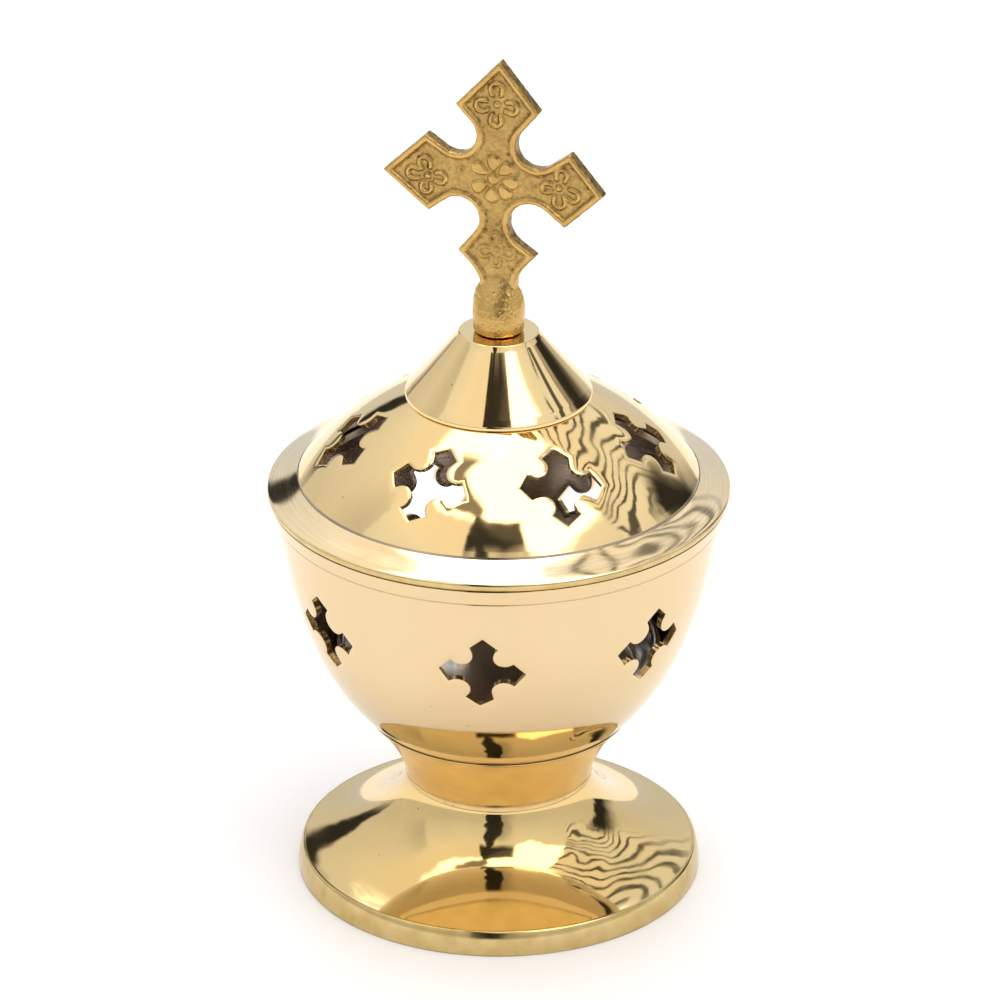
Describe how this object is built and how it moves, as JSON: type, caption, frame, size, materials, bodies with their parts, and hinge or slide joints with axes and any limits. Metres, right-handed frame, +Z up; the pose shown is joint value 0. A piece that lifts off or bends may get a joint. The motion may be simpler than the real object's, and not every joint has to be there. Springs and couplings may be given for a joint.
{
  "type": "standing table censer",
  "caption": "Brass table censer: pierced round bowl on a trumpet foot, with a lift-off pierced dome lid carrying a cast cross, and a loose charcoal pan inside.",
  "frame": {"origin": "middle of the foot's underside, on the surface that the censer stands on", "axes": "+Z up along the turning axis, front of the cross towards -Y"},
  "size_m": [0.085, 0.085, 0.1612],
  "materials": {
    "polished_brass": "mirror polished, lightly lacquered",
    "satin_brass": "satin, as turned",
    "cast_brass": "sand cast, brushed on the raised parts",
    "satin_steel": "satin, as turned",
    "zinc_steel": "zinc plated"
  },
  "bodies": {
    "stand": {"foot": "polished_brass", "stem_collar": "satin_brass", "bowl": "polished_brass", "clamp_screw": "zinc_steel", "clamp_washer": "zinc_steel", "foot_washer": "zinc_steel", "spring_washer": "zinc_steel", "foot_nut": "zinc_steel"},
    "lid": {"lid_dome": "polished_brass", "lid_brim": "polished_brass", "lid_cap": "polished_brass", "cross_finial": "cast_brass", "finial_washer": "zinc_steel", "finial_spring_washer": "zinc_steel", "finial_nut": "zinc_steel"},
    "charcoal_pan": {"charcoal_pan": "satin_steel"}
  },
  "joints": [
    {"name": "lid_lift", "type": "slide", "parent": "stand", "child": "lid", "axis": [0, 0, 1], "range_m": [0, 0.11]},
    {"name": "pan_lift", "type": "slide", "parent": "stand", "child": "charcoal_pan", "axis": [0, 0, 1], "range_m": [0, 0.03]}
  ]
}
